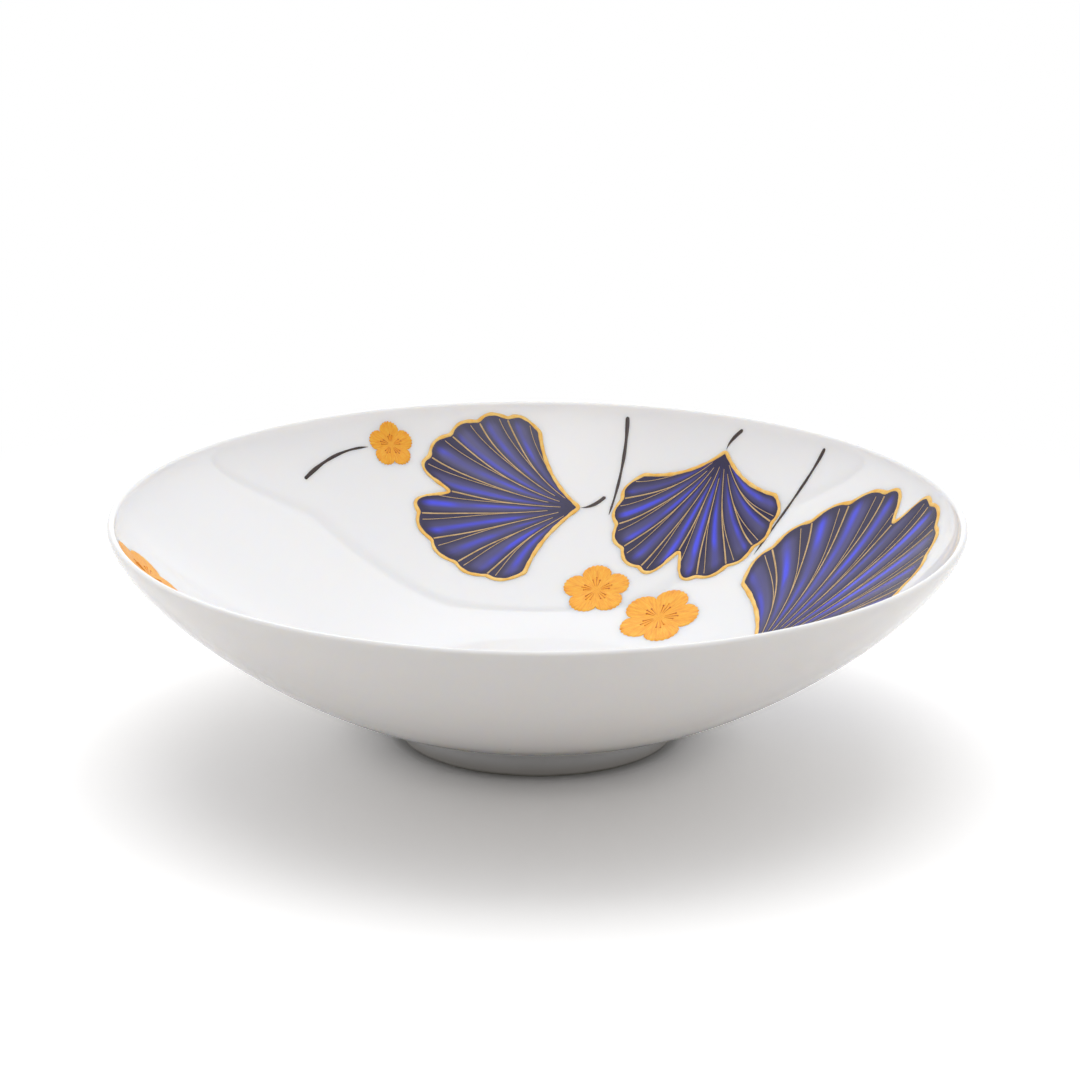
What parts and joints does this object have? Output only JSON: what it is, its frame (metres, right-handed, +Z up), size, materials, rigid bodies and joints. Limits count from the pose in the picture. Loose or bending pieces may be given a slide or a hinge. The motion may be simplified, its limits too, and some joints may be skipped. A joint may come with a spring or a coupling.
{
  "type": "shallow bowl",
  "caption": "Shallow white porcelain bowl with a thin flared wall on a low foot ring; raised enamel leaves, blossoms and twigs lie on the inside of the wall.",
  "frame": {"origin": "on the surface that the bowl stands on, under the middle of the bowl", "axes": "+Z up, along the bowl's axis; +X to the right and +Y away from a viewer at the front"},
  "size_m": [0.182, 0.182, 0.0488],
  "materials": {
    "white_glaze": "clear gloss glaze over white porcelain",
    "foot_porcelain": "glazed sides with a bare, fine standing edge",
    "cobalt_enamel": "glossy raised enamel, navy to ultramarine",
    "amber_enamel": "satin raised enamel",
    "dark_line_enamel": "satin brushed line",
    "gold_line_enamel": "satin gold outline and veins"
  },
  "bodies": {
    "root": {"bowl_shell": "white_glaze", "foot_ring": "foot_porcelain", "right_leaf": "cobalt_enamel", "right_leaf_stalk": "dark_line_enamel", "middle_leaf": "cobalt_enamel", "middle_leaf_stalk": "dark_line_enamel", "back_leaf": "cobalt_enamel", "back_leaf_stalk": "dark_line_enamel", "left_leaf": "cobalt_enamel", "left_leaf_stalk": "dark_line_enamel", "right_blossom": "amber_enamel", "back_blossom": "amber_enamel", "left_blossom": "amber_enamel", "sprig_blossom": "amber_enamel", "right_twig": "dark_line_enamel", "back_twig": "dark_line_enamel", "sprig_twig": "dark_line_enamel"}
  },
  "joints": []
}
